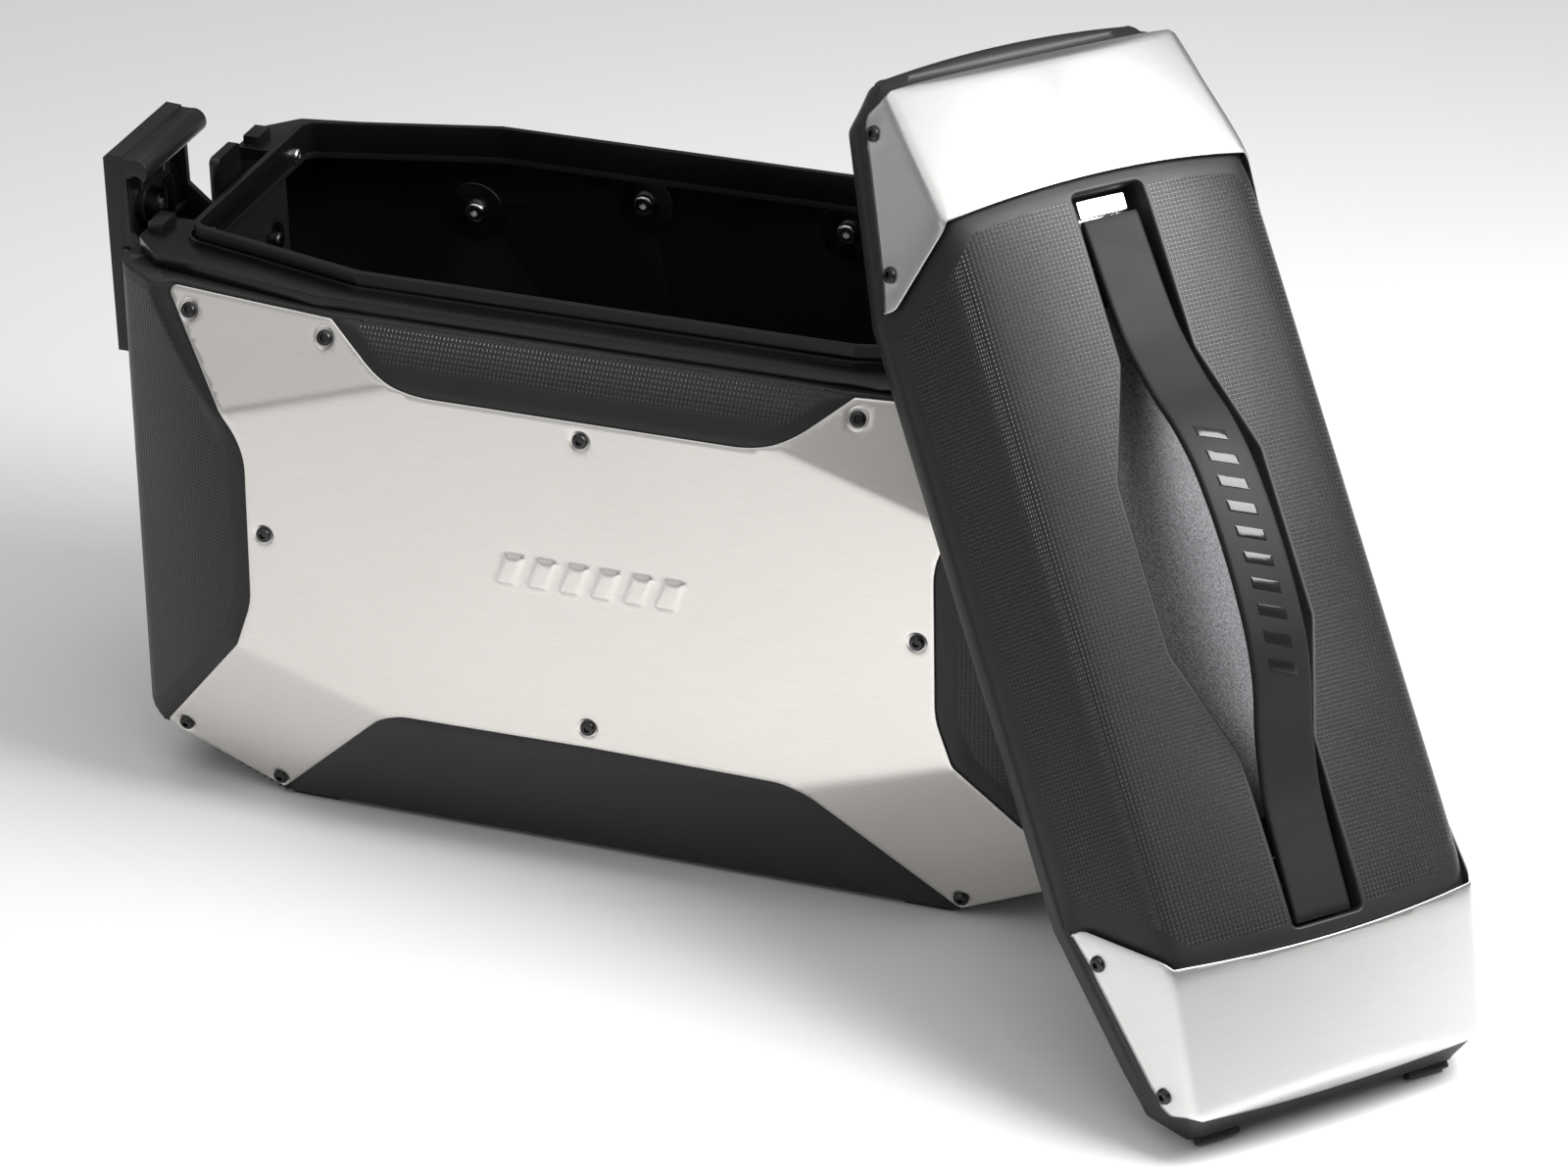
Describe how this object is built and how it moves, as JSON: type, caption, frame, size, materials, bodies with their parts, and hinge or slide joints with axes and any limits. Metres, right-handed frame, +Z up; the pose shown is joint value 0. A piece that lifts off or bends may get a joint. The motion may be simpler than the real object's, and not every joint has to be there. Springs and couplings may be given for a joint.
{
  "type": "motorcycle side case",
  "caption": "Hard motorcycle side case with a bent aluminium front panel, two end latches and a loose lid with a strap handle.",
  "frame": {"origin": "on the ground under the middle of the case's rim", "axes": "+X along the case, +Y towards the motorcycle, +Z up"},
  "size_m": [0.7206, 0.3928, 0.4084],
  "materials": {
    "case_plastic": "black injection-moulded plastic with a fine square grain",
    "gloss_frame": "smooth semi-gloss black plastic",
    "brushed_aluminium": "fine brushed, clear anodised",
    "black_fastener": "black zinc",
    "bright_steel": "bright stainless",
    "dark_washer": "dark passivated steel",
    "latch_plastic": "black glass-filled plastic",
    "recess_plastic": "speckled dark grey plastic",
    "strap_rubber": "soft matt black",
    "seal_rubber": "black foam rubber"
  },
  "bodies": {
    "case": {"base_feet": "case_plastic", "carrier_lock_housing": "latch_plastic", "carrier_lock_spring": "bright_steel", "carrier_screws": "bright_steel", "carrier_washers": "dark_washer", "case_shell": "case_plastic", "front_panel": "brushed_aluminium", "front_panel_screws": "black_fastener", "left_carrier_hook": "latch_plastic", "left_latch_base": "latch_plastic", "left_latch_screws": "bright_steel", "left_latch_spring": "bright_steel", "left_latch_washers": "dark_washer", "right_carrier_hook": "latch_plastic", "right_latch_base": "latch_plastic", "right_latch_screws": "bright_steel", "right_latch_spring": "bright_steel", "right_latch_washers": "dark_washer", "rim_frame": "gloss_frame", "rim_frame_screws": "bright_steel"},
    "lid": {"lid_end_catches": "gloss_frame", "lid_lower_end_plate": "brushed_aluminium", "lid_plate_screws": "black_fastener", "lid_recess_insert": "recess_plastic", "lid_seal": "seal_rubber", "lid_shell": "case_plastic", "lid_upper_end_plate": "brushed_aluminium", "strap_bracket_screws": "bright_steel", "strap_lower_bracket": "bright_steel", "strap_upper_bracket": "bright_steel"},
    "strap": {"strap_cover": "strap_rubber", "strap_spring_core": "bright_steel"},
    "left_latch": {"left_latch_lever": "latch_plastic", "left_latch_pivot_pin": "bright_steel", "left_latch_stop_pin": "bright_steel", "left_lock_barrel": "bright_steel"},
    "right_latch": {"right_latch_lever": "latch_plastic", "right_latch_pivot_pin": "bright_steel", "right_latch_stop_pin": "bright_steel", "right_lock_barrel": "bright_steel"},
    "left_lock": {"left_lock_cam": "bright_steel", "left_lock_rotor": "bright_steel"},
    "right_lock": {"right_lock_cam": "bright_steel", "right_lock_rotor": "bright_steel"},
    "carrier_bolt": {"carrier_lock_bolt": "bright_steel"}
  },
  "joints": [
    {"name": "lid_lift_off", "type": "slide", "parent": "case", "child": "lid", "axis": [0.7342, -0.6789, 0], "range_m": [0, 0.28]},
    {"name": "strap_lift", "type": "slide", "parent": "lid", "child": "strap", "axis": [0.5878, -0.5436, 0.5992], "range_m": [0, 0.005]},
    {"name": "left_latch_swing", "type": "hinge", "parent": "case", "child": "left_latch", "pos_m": [-0.264, 0, 0.214], "axis": [0, 1, 0], "range_deg": [0, 14]},
    {"name": "right_latch_swing", "type": "hinge", "parent": "case", "child": "right_latch", "pos_m": [0.264, 0, 0.214], "axis": [0, 1, 0], "range_deg": [0, 5]},
    {"name": "left_lock_turn", "type": "hinge", "parent": "left_latch", "child": "left_lock", "pos_m": [-0.28, 0, 0.264], "axis": [-1, 0, 0], "range_deg": [0, 90]},
    {"name": "right_lock_turn", "type": "hinge", "parent": "right_latch", "child": "right_lock", "pos_m": [0.26743, 0, 0.26639], "axis": [0.9703, 0, 0.2419], "range_deg": [0, 90]},
    {"name": "carrier_bolt_slide", "type": "slide", "parent": "case", "child": "carrier_bolt", "axis": [0, 0, 1], "range_m": [0, 0.01], "deforming": ["carrier_lock_spring"]}
  ]
}
